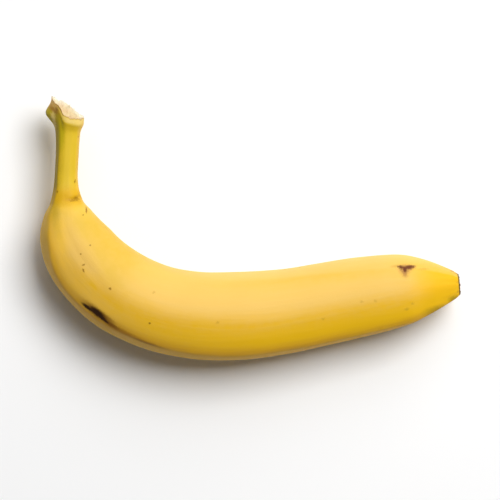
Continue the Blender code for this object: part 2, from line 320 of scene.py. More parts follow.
# Layers of marks, lowest first: how soft their edges are, as a share of their size, how far the edges
# wander, their colour, and how much of it covers the peel
SLIGHT = 0.9
STRONG = 2.4
MARK_LAYERS = (
    (SHADE_PATCHES, 0.7, STRONG, OLIVE_AND_PAINTED_SHADE, 0.7),
    (GREEN_PATCHES, 0.6, STRONG, GREEN_AND_PAINTED_SHADE, 0.75),
    (NECK_PATCHES, 0.7, STRONG, NECK_GOLD_AND_PAINTED_SHADE, 0.95),
    (TAN_PATCHES, 0.4, STRONG, TAN, 0.9),
    (RIM_PATCHES, 0.9, STRONG, YELLOW_RIM, 0.85),
    (FAINT_MARKS, 0.9, STRONG, OCHRE, 0.45),
    (CORK_MARKS, 0.7, STRONG, CORK, 0.75),
    (CREASE_MARKS, 0.65, STRONG, FOLD_BROWN, 0.85),
    (SPECK_MARKS, 0.5, SLIGHT, SPECK, 0.85),
    (STREAK_MARKS, 0.8, SLIGHT, BRUISE_BROWN, 0.8),
    (BROWN_MARKS, 0.7, SLIGHT, BROWN, 0.8),
    (SCAR_MARKS, 0.5, STRONG, RED_BROWN, 0.92),
    (BLACK_MARKS, 0.45, SLIGHT, BLACK, 0.97),
)
# Marks that are also rougher and a little sunk
DARK_MARKS = (BROWN_MARKS, SCAR_MARKS, CORK_MARKS, BLACK_MARKS)
# Tints of the peel's attributes, in the order that they are laid on; all but the bend's and the stem's are
# painted: a sheen, light on some faces, and shade, the deep one only in part
UPPER_TINTS = (("painted_sheen", YELLOW_PALE_AND_SHEEN), ("bend", YELLOW_BEND), ("lit", YELLOW_LIT), ("orange_shade", ORANGE_SHADE))
SIDE_TINTS = (("deep_and_painted_light", YELLOW_DEEP_AND_PAINTED_LIGHT), ("painted_side_light", YELLOW_PAINTED_SIDE_LIGHT), ("stem", OLIVE))
# Stations over which the warm tint of the nose comes in
END_TINT = (212.0, 228.0)
# How much the streaks, the spots and the crests tint the peel, and how uneven the painted shade and browning
# along a ridge are
STREAK_TINT = 0.3
SPOT_TINT = 0.14
CREST_TINT = 0.10
SHADE_RANGE = (0.6, 1.2)
# Stations over which the browning of the two rims comes in, and its strength at each
DRY_RIM = (LENGTH - 0.8, LENGTH - 0.15, 0.0, 0.95)
TORN_RIM = (0.5, 0.15, 0.0, 0.5)
# Heights over which the torn face turns tan and white, the shares of its width for its brown edge, and how
# strong each is at both ends
TAN_HEIGHTS = (23.0, 28.0, 0.0, 0.35)
WHITE_HEIGHTS = (25.0, 17.0, 0.0, 0.8)
FLESH_EDGE = (0.05, 0.01, 0.0, 0.45)
FLESH_STREAKS = 0.4
# How much of the flower end its brown flecks cover
SCAR_FLECKS = 0.35

# Mottling of each material, in millimetres
PEEL_MOTTLE = {"Patch Size": 13.0, "Streak Stretch": (0.03, 0.45, 0.45)}
FLESH_MOTTLE = {"Patch Size": 3.0, "Streak Stretch": (2.5, 0.6, 2.5)}
SCAR_MOTTLE = {"Patch Size": 1.6, "Streak Stretch": (1.0, 2.5, 2.5)}
GRAIN_SCALE = 2.4
SPOTS_PER_PATCH = 4.0
# Each layer of the mottling: its detail, its roughness, and the noise values that become 0 and 1
MOTTLE_LAYERS = (
    ("Patches", 3.0, 0.55, 0.3, 0.7), ("Spots", 2.0, 0.5, 0.35, 0.65), ("Streaks", 3.0, 0.6, 0.3, 0.7),
    ("Grain", 4.0, 0.7, 0.3, 0.7),
)
# The noise by which the edges of the marks wander: its scale, detail and roughness
WOBBLE = (1.7, 3.0, 0.6)
# Roughness where the texture is low and where it is high, and depth of the fine relief in metres
PEEL_SPECULAR = 0.2
PEEL_ROUGHNESS = (0.50, 0.60)
DARK_ROUGHER = 0.15
FLESH_ROUGHNESS = (0.6, 0.8)
SCAR_ROUGHNESS = (0.65, 0.9)
# How much the grain and the streaks raise the peel, and how much the dark marks sink it
GRAIN_RAISE = 0.5
STREAK_RAISE = 0.7
DARK_SINK = 1.5
PEEL_GRAIN_DEPTH = 0.00004
FLESH_GRAIN_DEPTH = 0.00012
SCAR_GRAIN_DEPTH = 0.0002
# Places of a colour mix's share, first colour and second colour among its inputs, and of its result
COLOUR_MIX_INPUTS = (0, 6, 7)
COLOUR_MIX_RESULT = 2

# Lights: name, direction to it, distance, width and length, and power. Then the strength of the white all
# round
LIGHTS = (
    ("softbox", (0.44, 0.468, 1.0), 1.85, (1.05, 1.05), 37.0),
    ("side_fill", (-0.25, 0.7, 1.0), 1.85, (0.8, 1.2), 2.2),
    ("low_fill", (-0.5, -0.35, 1.0), 1.85, (1.2, 1.2), 0.6),
    ("window", (0.4, 1.45, 1.0), 1.85, (1.2, 0.9), 8.5),
)
WORLD_STRENGTH = 0.08

# Half the side of the square floor, in metres, and its finish
FLOOR_HALF = 4.0
FLOOR_ROUGHNESS = 0.9
FLOOR_SPECULAR = 0.1

# The camera looks straight down and its view is PHOTO_WIDTH wide at the fruit's middle height
PHOTO_WIDTH = 0.215
VIEW_HEIGHT = 0.0175
CAMERA_DISTANCE = 1.2
CAMERA_CENTRE = (0.0, -0.00935)
SENSOR = 36.0


def smooth_curve(table, at):
    """Values at the places `at` on a cubic curve through the table's points that never overshoots them."""
    place, value = np.array(table, float).T
    gap = np.diff(place)
    slope = np.diff(value) / gap
    before, after = slope[:-1], slope[1:]
    turning = before * after <= 0
    weight_before = gap[:-1] + 2 * gap[1:]
    weight_after = 2 * gap[:-1] + gap[1:]
    parts = weight_before / np.where(turning, 1, before) + weight_after / np.where(turning, 1, after)
    inner = np.where(turning, 0, (weight_before + weight_after) / np.where(turning, 1, parts))
    tangent = np.concatenate(([slope[0]], inner, [slope[-1]]))
    span = np.clip(np.searchsorted(place, at, side="right") - 1, 0, len(gap) - 1)
    t = np.clip((at - place[span]) / gap[span], 0, 1)
    ease = t * t * (3 - 2 * t)
    bend_in = t * (1 - t) ** 2 * gap[span] * tangent[span]
    bend_out = -t * t * (1 - t) * gap[span] * tangent[span + 1]
    return value[span] + (value[span + 1] - value[span]) * ease + bend_in + bend_out


def wrapped(angles):
    """The same angles between -180 and 180 degrees."""
    return (angles + 180) % 360 - 180


def hill(distance, width):
    """1 at no distance, falling off as a bell of that width."""
    return np.exp(-((distance / width) ** 2))


def ramp(value, start, span):
    """0 up to the start and 1 past the span, with a straight rise between them."""
    return np.clip((value - start) / span, 0, 1)


def spine(stations):
    """Points of the spine and its headings in radians: the heading summed up in short steps."""
    fine = np.linspace(0, LENGTH, SPINE_STEPS)
    heading = np.radians(smooth_curve(HEADING, fine))
    step = fine[1]
    x = np.cumsum(np.cos(heading)) * step
    y = np.cumsum(np.sin(heading)) * step
    z = smooth_curve(SPINE_HEIGHT, stations)
    points = np.stack((np.interp(stations, fine, x), np.interp(stations, fine, y), z), axis=-1)
    return points, np.interp(stations, fine, heading)


def column_angles(stations, per_face):
    """Angles round each section, as rows: evenly spaced between ridges, so that columns follow the ridges."""
    ridges = np.stack([smooth_curve(table, stations) for table in RIDGE_ANGLE], axis=-1)
    following = np.concatenate((ridges[:, 1:], ridges[:, :1] + 360), axis=1)
    share = np.arange(per_face) / per_face
    angles = ridges[:, :, None] + (following - ridges)[:, :, None] * share
    return angles.reshape(len(stations), -1)


def ridged_radius(stations, angles):
    """Radius of the section, near 1: a circle with a rounded crest at each ridge that dies away."""
    radius = np.ones_like(angles)
    for place, strength, rounding in zip(RIDGE_ANGLE, RIDGE_STRENGTH, RIDGE_ROUNDING):
        away = wrapped(angles - smooth_curve(place, stations)[:, None])
        blunt = smooth_curve(rounding, stations)[:, None]
        rounded = np.sqrt(away**2 + blunt**2) - blunt
        radius += smooth_curve(strength, stations)[:, None] * np.exp(-rounded / RIDGE_SPREAD)
    return radius - UNDERSIDE_HOLLOW * hill(wrapped(angles - 180), UNDERSIDE_SPREAD)


def section(stations, angles):
    """Offsets out of the bend and up for each angle, fitted to the section's stated width and height."""
    whole_turn = np.broadcast_to(np.arange(-180.0, 180.0), (len(stations), 360))
    half_width = smooth_curve(HALF_WIDTH, stations)
    half_height = half_width * smooth_curve(HEIGHT_SHARE, stations)
    offsets = []
    for turn, half in ((np.sin, half_width), (np.cos, half_height)):
        reach = ridged_radius(stations, whole_turn) * turn(np.radians(whole_turn))
        low, high = reach.min(axis=1), reach.max(axis=1)
        here = ridged_radius(stations, angles) * turn(np.radians(angles))
        offsets.append((here - ((low + high) / 2)[:, None]) * (2 * half / (high - low))[:, None])
    return offsets


def ripples(table, turn, place):
    """A sum of sines round the fruit, each of which twists as it goes along the places."""
    total = np.zeros(np.broadcast_shapes(np.shape(turn), np.shape(place)))
    for waves, twist, height, phase in table:
        total += height * np.sin(waves * turn + twist * place + phase)
    return total


def relief(stations, angles):
    """Fine relief of the peel, outwards: the sum of a fold, low swells, a crease and wrinkles at the ends.

    The fold is a bell-shaped groove across the foot of the stem with a low roll before it. The swells are
    sines of five wavelengths along the fruit. The crease is a bell-shaped groove beside the top ridge.
    The wrinkles are sines round the nose and round the stem.
    """
    place = stations[:, None]
    turn = np.radians(angles)
    past_fold = place - FOLD_STATION + hill(angles - SWING_ANGLE, SWING_SPREAD)
    fold_depth = FOLD_DEPTH * hill(wrapped(angles - FOLD_ANGLE), FOLD_SPREAD)
    groove = hill(past_fold, FOLD_WIDTH)
    out = fold_depth * (ROLL_SHARE * hill(past_fold + ROLL_BEFORE, ROLL_WIDTH) - groove)
    swells = np.zeros_like(angles)
    chance = np.random.default_rng(SWELL_SEED)
    for wave in SWELL_WAVES:
        around = chance.integers(1, 4)
        swells += np.sin(place * 2 * np.pi / wave + around * turn + chance.uniform(0, 2 * np.pi))
    out = out + SWELL_HEIGHT * swells * smooth_curve(SWELL_ALONG, place)
    beside_crease = hill(angles - smooth_curve(CREASE_ANGLE, place), CREASE_SPREAD)
    out = out - CREASE_DEPTH * hill(place - CREASE_STATION, CREASE_REACH) * beside_crease
    out = out + ripples(NOSE_WRINKLES, turn, place) * smooth_curve(NOSE_ALONG, place) ** 3
    return out + ripples(STEM_WRINKLES, turn, place) * smooth_curve(STEM_WRINKLES_ALONG, place)


def place_on_spine(stations, outward, upward, forward):
    """Points from offsets out of the bend, up and along the spine, none lower than the table."""
    centre, heading = spine(stations)
    along = np.stack((np.cos(heading), np.sin(heading)), axis=-1)[:, None, :]
    out = np.stack((np.sin(heading), -np.cos(heading)), axis=-1)[:, None, :]
    flat = centre[:, None, :2] + out * outward[..., None] + along * forward[..., None]
    height = np.maximum(centre[:, None, 2] + upward, 0)
    return np.concatenate((flat, height[..., None]), axis=-1)


def peel_points(stations, angles):
    """The peel's points: the section carried along the spine, then lifted by the knob and the fine relief.

    Near the crown the rings are pushed back by the rim's rise and its tears, and near the flower end they
    are tilted by a share of how far out of the bend they lie.
    """
    outward, upward = section(stations, angles)
    place = stations[:, None]
    turn = np.radians(angles)
    beside_knob = hill(wrapped(angles - KNOB_ANGLE), KNOB_SPREAD)
    knob = KNOB_OUT * hill(place - KNOB_STATION, KNOB_LENGTH) * beside_knob
    lift = knob + relief(stations, angles)
    outward = outward + lift * np.sin(turn)
    upward = upward + lift * np.cos(turn)
    near_crown = ramp(RIM_REACH - place, 0, RIM_REACH)
    rise = smooth_curve(RIM_RISE, wrapped(angles)) * near_crown**2 * (3 - 2 * near_crown)
    rise = rise + ripples(RIM_TEARS, turn, place) * hill(place, RIM_TEARS_REACH)
    near_scar = ramp(place, LENGTH - SCAR_TILT_REACH, SCAR_TILT_REACH)
    return place_on_spine(stations, outward, upward, SCAR_TILT * outward * near_scar - rise)


def box_middle():
    """The middle of the solid's footprint in the spine's own axes, from a coarse peel."""
    stations = np.linspace(0, LENGTH, COARSE_RINGS)
    points = peel_points(stations, column_angles(stations, COARSE_PER_FACE)).reshape(-1, 3)
    middle = (points.min(axis=0) + points.max(axis=0)) / 2
    return np.array((middle[0], middle[1], 0))


def ring_stations():
    """Stations of the peel's rings, closer together where the shape turns fast."""
    stations = [np.zeros(1)]
    for end, count in STRETCHES:
        stations.append(np.linspace(stations[-1][-1], end, count + 1)[1:])
    return np.concatenate(stations)


def grid_faces(rows, columns):
    """Quads of a grid whose columns close on themselves, facing outwards."""
    row, column = np.meshgrid(np.arange(rows - 1), np.arange(columns), indexing="ij")
    beside = (column + 1) % columns
    start = row * columns
    corners = (start + column, start + beside, start + columns + beside, start + columns + column)
    return np.stack(corners, axis=-1).reshape(-1, 4)


def make_piece(name, points, faces, flat_uv=None, values=None):
    """A smooth mesh object at the origin, with a flat map and named attributes where they are given."""
    mesh = bpy.data.meshes.new(name)
    mesh.from_pydata((points.reshape(-1, 3) * MM).tolist(), [], [list(face) for face in faces])
    corners = np.zeros(len(mesh.loops), np.int32)
    mesh.loops.foreach_get("vertex_index", corners)
    if flat_uv is not None:
        layer = mesh.uv_layers.new(name="peel_map")
        layer.data.foreach_set("uv", flat_uv[corners].astype(np.float32).ravel())
    for title, numbers in (values or {}).items():
        kind, field = ("FLOAT_VECTOR", "vector") if numbers.ndim == 2 else ("FLOAT", "value")
        made = mesh.attributes.new(title, kind, "POINT")
        made.data.foreach_set(field, numbers.astype(np.float32).ravel())
    mesh.shade_smooth()
    mesh.validate()
    piece = bpy.data.objects.new(name, mesh)
    bpy.context.scene.collection.objects.link(piece)
    return piece


def straightened(stations, angles):
    """Each point's place on the fruit as if it were straight: station, outward and upward, in millimetres."""
    half = smooth_curve(HALF_WIDTH, stations)[:, None]
    turn = np.radians(angles)
    place = np.broadcast_to(stations[:, None], angles.shape)
    return np.stack((place, half * np.sin(turn), half * np.cos(turn)), axis=-1).reshape(-1, 3)


def beside(round_place, ridge, past_and_width):
    """A bell round the fruit that lies a number of degrees past a ridge."""
    past, width = past_and_width
    return hill(round_place - ridge - past, width)


def tints(stations, angles, ridges):
    """How strong each tint is at each point, between 0 and 1: a curve along the fruit times a ramp or bell
    round it, placed from the ridges on the inner side, on top and on the outer side.
    """
    place = stations[:, None]
    round_place = wrapped(angles)
    inner_ridge, top_ridge, outer_ridge = ridges[:, 1, None], ridges[:, 2, None], ridges[:, 3, None]
    below = ramp(round_place, inner_ridge, BELOW_FADE)
    # Painted shade: an orange band just past the inner ridge
    orange_shade = below * hill(np.maximum(round_place - inner_ridge, 0), ORANGE_SHADE_SPREAD)
    orange_shade = orange_shade * smooth_curve(ORANGE_SHADE_ALONG, place)
    # Painted sheen: a paler yellow up to a little past the top ridge, with less of it in the orange painted
    # shade
    before_edge = top_ridge + smooth_curve(SHEEN_REACH, place) - round_place
    painted_sheen = ramp(before_edge, 0, SHEEN_FADE) * ramp(round_place, *SHEEN_START) * smooth_curve(SHEEN_ALONG, place)
    painted_sheen = painted_sheen * (1 - ORANGE_SHADE_OVER_SHEEN * orange_shade)
    # A deeper yellow between the top and the outer ridge, made brighter as painted light
    deep_and_painted_light = beside(round_place, (top_ridge + outer_ridge) / 2, DEEP_BESIDE) * smooth_curve(DEEP_ALONG, place)
    on_inner = ramp(-round_place, INNER_START, INNER_OVER_STEM_SPAN)
    stem = smooth_curve(STEM_ALONG, place) * (1 - INNER_OVER_STEM * on_inner)
    # Painted light on the sides that turn under: the floor's bounce and its grazing reflection
    inner_side = smooth_curve(INNER_ALONG, place) * ramp(-round_place, INNER_START, SIDE_SPAN)
    outer_side = (OUTER_TINT - STEM_OVER_OUTER * stem) * ramp(round_place, OUTER_START, SIDE_SPAN)
    painted_side_light = (inner_side + outer_side) * ramp(UNDER_END - np.abs(round_place), 0, UNDER_SPAN)
    bend = smooth_curve(BEND_ALONG, place) * ramp(top_ridge + BEND_PAST - round_place, 0, BEND_FADE)
    # Painted light on the face before the outer ridge
    lit = beside(round_place, outer_ridge, LIT_BESIDE) * smooth_curve(LIT_ALONG, place)
    # Painted shade along the outer ridge, with slight browning
    ridge_shade = beside(round_place, outer_ridge, SHADE_BESIDE) * smooth_curve(SHADE_ALONG, place)
    strengths = {
        "painted_sheen": painted_sheen, "deep_and_painted_light": deep_and_painted_light, "orange_shade": orange_shade, "below": below, "bend": bend, "lit": lit,
        "stem": stem, "painted_side_light": painted_side_light, "ridge_shade": ridge_shade,
    }
    return {name: strength.ravel() for name, strength in strengths.items()}


def make_peel(shift):
    """The whole peel from the torn rim to the flower end, as rings along the spine."""
    stations = ring_stations()
    angles = column_angles(stations, COLUMNS_PER_FACE)
    points = peel_points(stations, angles) - shift
    columns = angles.shape[1]
    half = smooth_curve(HALF_WIDTH, stations)[:, None]
    place = np.broadcast_to(stations[:, None], angles.shape)
    flat_uv = np.stack((place, np.radians(angles) * half), axis=-1).reshape(-1, 2)
    ridges = np.stack([smooth_curve(table, stations) for table in RIDGE_ANGLE], axis=-1)
    crest = np.zeros_like(angles)
    for ridge in TINTED_RIDGES:
        crest += hill(wrapped(angles - ridges[:, ridge, None]), CREST_WIDTH)
    values = {"straight": straightened(stations, angles), "crest": crest.ravel()}
    values.update(tints(stations, angles, ridges))
    piece = make_piece("banana_skin", points, grid_faces(*angles.shape), flat_uv, values)
    close_seam(piece, columns, half)
    return piece, points


def close_seam(piece, columns, half):
    """Adds a whole turn to the map at the last column's far corners, so that it doesn't fold back there."""
    layer = piece.data.uv_layers["peel_map"]
    uv = np.zeros(len(piece.data.loops) * 2, np.float32)
    layer.data.foreach_get("uv", uv)
    uv = uv.reshape(-1, 4, 2)
    corners = np.zeros(len(piece.data.loops), np.int32)
    piece.data.loops.foreach_get("vertex_index", corners)
    row, column = np.divmod(corners.reshape(-1, 4), columns)
    crosses = (column == 0) & (column.max(axis=1) == columns - 1)[:, None]
    uv[..., 1] += np.where(crosses, 2 * np.pi * half[row, 0], 0)
    layer.data.foreach_set("uv", uv.ravel())


def make_flesh(rim, shift):
    """The torn end: rings that shrink from the rim to a point, over a groove and up to raised, lumpy flesh.

    The lumps are a sum of sines across the face, each in its own direction.
    """
    centre, heading = spine(np.zeros(1))
    back = -np.array((np.cos(heading[0]), np.sin(heading[0]), 0))
    middle = centre[0] - shift + back * CROWN_MIDDLE_SUNK
    share = np.linspace(0, 1, FLESH_ROWS)[:, None]
    turn = np.radians(column_angles(np.zeros(1), COLUMNS_PER_FACE))
    across = (1 - share) * np.sin(turn)
    down = (1 - share) * np.cos(turn)
    lumps = np.zeros_like(across)
    chance = np.random.default_rng(LUMP_SEED)
    for size in FLESH_LUMPS:
        way, phase = chance.uniform(0, 2 * np.pi, 2)
        distance = across * np.cos(way) + down * np.sin(way)
        lumps = lumps + size * np.sin(distance * LUMP_CLOSENESS / size + phase)
    lift = smooth_curve(FLESH_LIFT, share) + lumps * ramp(share, LUMP_START, LUMP_SPAN)
    points = middle + (rim - middle) * (1 - share)[..., None] + back * lift[..., None]
    points[-1] = points[-1].mean(axis=0)
    inward = np.broadcast_to(share, lift.shape).ravel()
    faces = grid_faces(*lift.shape)[:, ::-1]
    return make_piece("torn_flesh", points, faces, values={"inward": inward}), points


def make_fibres(flesh):
    """Torn strands on the flesh: each is a thin tapering tube that leans, and curls as a parabola does."""
    chance = np.random.default_rng(FIBRE_SEED)
    rows, columns = flesh.shape[:2]
    outer, inner = FIBRE_SPREAD
    row = (outer + (inner - outer) * chance.random(FIBRES)) * (rows - 1)
    foot = flesh[row.astype(int), chance.integers(0, columns, FIBRES)]
    heading = spine(np.zeros(1))[1][0]
    back = -np.array((np.cos(heading), np.sin(heading), 0))
    lean = chance.normal(0, FIBRE_LEAN, (FIBRES, 3))
    length = chance.uniform(*FIBRE_LENGTH, FIBRES)
    radius = chance.uniform(*FIBRE_RADIUS, FIBRES)
    along = np.linspace(-FIBRE_SUNK, 1, FIBRE_RINGS)
    axis = back + lean
    axis = axis / np.linalg.norm(axis, axis=1)[:, None]
    side = np.cross(axis, FIBRE_GUIDE)
    side = side / np.linalg.norm(side, axis=1)[:, None]
    other = np.cross(axis, side)
    spot = foot[:, None] + axis[:, None] * (along * length[:, None])[..., None]
    spot = spot + side[:, None] * (FIBRE_CURL * along**2 * length[:, None])[..., None]
    thick = radius[:, None] * (1 - FIBRE_TAPER * np.clip(along, 0, 1))
    turn = np.linspace(0, 2 * np.pi, FIBRE_SIDES, endpoint=False)
    ring = side[:, None, None] * np.cos(turn)[:, None] + other[:, None, None] * np.sin(turn)[:, None]
    points = spot[:, :, None] + thick[:, :, None, None] * ring
    one = grid_faces(FIBRE_RINGS, FIBRE_SIDES)
    first = np.arange(FIBRES)[:, None] * FIBRE_RINGS * FIBRE_SIDES
    faces = (one[None] + first[..., None]).reshape(-1, 4).tolist()
    faces += (first + np.arange(FIBRE_SIDES)[::-1]).tolist()
    faces += (first + (FIBRE_RINGS - 1) * FIBRE_SIDES + np.arange(FIBRE_SIDES)).tolist()
    return make_piece("torn_fibres", points, faces, values={"inward": np.ones(points.size // 3)})


def make_scar(rim):
    """The flower end: rings that shrink from the rim to a point, over a ragged lip into a cracked hollow.

    The ragged steps and the cracks are sines round the end that twist as they go inwards.
    """
    heading = spine(np.array([LENGTH]))[1][0]
    onward = np.array((np.cos(heading), np.sin(heading), 0))
    middle = rim.mean(axis=0)
    share = np.linspace(0, 1, SCAR_ROWS)[:, None]
    turn = np.radians(column_angles(np.array([LENGTH]), COLUMNS_PER_FACE))
    ragged = ripples(SCAR_TEETH, turn, share) * smooth_curve(SCAR_RAGGED, share)
    cracks = CRACK_DEPTH * np.ones_like(ragged)
    for waves, twist in CRACK_WAVES:
        cracks *= np.sin(waves * turn + twist * share)
    lift = smooth_curve(SCAR_LIFT, share) + ragged + cracks * (1 - share)
    points = middle + (rim - middle) * (1 - share)[..., None] + onward * lift[..., None]
    points[-1] = points[-1].mean(axis=0)
    return make_piece("flower_scar", points, grid_faces(*lift.shape))


def feed(tree, node, feeds):
    """Joins each input named in feeds to another node's socket, or gives it a value."""
    for name, value in feeds.items():
        if isinstance(value, bpy.types.NodeSocket):
            tree.links.new(value, node.inputs[name])
        else:
            node.inputs[name].default_value = value


def add_node(tree, kind, feeds=None, **settings):
    """A shader node with its settings, and with each input fed by another node's socket or given a value."""
    made = tree.nodes.new(kind)
    for name, value in settings.items():
        setattr(made, name, value)
    feed(tree, made, feeds or {})
    return made


def calculate(tree, operation, first, second):
    """A Math node's result."""
    return add_node(tree, "ShaderNodeMath", {0: first, 1: second}, operation=operation).outputs[0]


def share_of(tree, value, share):
    """A value times a share."""
    return calculate(tree, "MULTIPLY", value, share)


def calculate_vector(tree, operation, first, second):
    """A Vector Math node's vector."""
    return add_node(tree, "ShaderNodeVectorMath", {0: first, 1: second}, operation=operation).outputs[0]


def blend_colour(tree, share, first, second):
    """A colour mix: first where share is 0, second where it is 1."""
    made = add_node(tree, "ShaderNodeMix", data_type="RGBA")
    feed(tree, made, dict(zip(COLOUR_MIX_INPUTS, (share, first, second))))
    return made.outputs[COLOUR_MIX_RESULT]


def soft_step(tree, value, low, high, to_low=0.0, to_high=1.0):
    """A value that turns smoothly from to_low at low to to_high at high."""
    feeds = {"Value": value, "From Min": low, "From Max": high, "To Min": to_low, "To Max": to_high}
    return add_node(tree, "ShaderNodeMapRange", feeds, interpolation_type="SMOOTHSTEP").outputs["Result"]


def noise(tree, place, scale, detail, roughness):
    """The outputs of a Noise Texture at a place. Its value and its colour both lie around 0.5."""
    feeds = {"Vector": place, "Scale": scale, "Detail": detail, "Roughness": roughness}
    return add_node(tree, "ShaderNodeTexNoise", feeds).outputs


def new_group(name, inputs, outputs):
    """A shader node group with those sockets. Gives the group, its input node and its output node."""
    group = bpy.data.node_groups.new(name, "ShaderNodeTree")
    kinds = {"value": "NodeSocketFloat", "vector": "NodeSocketVector"}
    for title, kind in inputs:
        group.interface.new_socket(title, in_out="INPUT", socket_type=kinds[kind])
    for title, kind in outputs:
        group.interface.new_socket(title, in_out="OUTPUT", socket_type=kinds[kind])
    return group, group.nodes.new("NodeGroupInput").outputs, group.nodes.new("NodeGroupOutput").inputs


def use_group(tree, group, feeds):
    """The outputs of a node group placed in a material."""
    return add_node(tree, "ShaderNodeGroup", feeds, node_tree=group).outputs


def blemish_group():
    """A soft-edged oval mask on a flat map, with a ragged outline: 1 well inside the oval, 0 outside it."""
    inputs = [
        ("Map", "vector"), ("Middle", "vector"), ("Turn", "value"), ("Size", "vector"), ("Edge", "value"),
        ("Ragged", "vector"),
    ]
    group, given, result = new_group("Blemish", inputs, [("Mask", "value")])
    away = calculate_vector(group, "SUBTRACT", given["Map"], given["Middle"])
    away = calculate_vector(group, "ADD", away, given["Ragged"])
    back = calculate(group, "MULTIPLY", given["Turn"], -1.0)
    feeds = {"Vector": away, "Angle": back}
    turned = add_node(group, "ShaderNodeVectorRotate", feeds, rotation_type="Z_AXIS").outputs[0]
    scaled = calculate_vector(group, "DIVIDE", turned, given["Size"])
    length = add_node(group, "ShaderNodeVectorMath", {0: scaled}, operation="LENGTH").outputs["Value"]
    far = calculate(group, "ADD", 1.0, given["Edge"])
    near = calculate(group, "SUBTRACT", 1.0, given["Edge"])
    group.links.new(soft_step(group, length, far, near), result["Mask"])
    return group


def mottle_group():
    """Broad cloudy patches, small spots, thin streaks along the piece and a fine grain, each from 0 to 1."""
    inputs = [("Place", "vector"), ("Patch Size", "value"), ("Streak Stretch", "vector")]
    group, given, result = new_group("Mottle", inputs, [(layer[0], "value") for layer in MOTTLE_LAYERS])
    place = given["Place"]
    scale = calculate(group, "DIVIDE", 1.0, given["Patch Size"])
    stretched = calculate_vector(group, "MULTIPLY", place, given["Streak Stretch"])
    sources = {
        "Patches": (place, scale), "Spots": (place, share_of(group, scale, SPOTS_PER_PATCH)),
        "Streaks": (stretched, 1.0), "Grain": (place, GRAIN_SCALE),
    }
    for name, detail, roughness, low, high in MOTTLE_LAYERS:
        cloud = noise(group, *sources[name], detail, roughness)[0]
        group.links.new(soft_step(group, cloud, low, high), result[name])
    return group


def new_material(name):
    """An empty material with a Principled shader. Gives the material, its tree and the shader's inputs."""
    made = bpy.data.materials.new(name)
    made.use_nodes = True
    return made, made.node_tree, made.node_tree.nodes["Principled BSDF"].inputs


def bump(tree, height, depth):
    """A normal from a height, for relief of that depth in metres where the height changes by 1."""
    return add_node(tree, "ShaderNodeBump", {"Height": height, "Distance": depth}).outputs["Normal"]


def attribute(tree, name, output="Fac"):
    """One of the piece's own attributes."""
    return add_node(tree, "ShaderNodeAttribute", attribute_name=name).outputs[output]


def on_map(station, angle):
    """A point of the peel's flat map."""
    half = float(smooth_curve(HALF_WIDTH, np.array([station]))[0])
    return (station, math.radians(angle) * half, 0.0)


def blemish_mask(tree, group, flat, ragged, marks, edge):
    """The union of a list of marks: station, angle, half length, half width and turn in degrees."""
    total = None
    for station, angle, half_length, half_width, turn in marks:
        feeds = {
            "Map": flat, "Middle": on_map(station, angle), "Turn": math.radians(turn),
            "Size": (half_length, half_width, 1.0), "Edge": edge, "Ragged": ragged,
        }
        mask = use_group(tree, group, feeds)["Mask"]
        total = mask if total is None else calculate(tree, "MAXIMUM", total, mask)
    return total


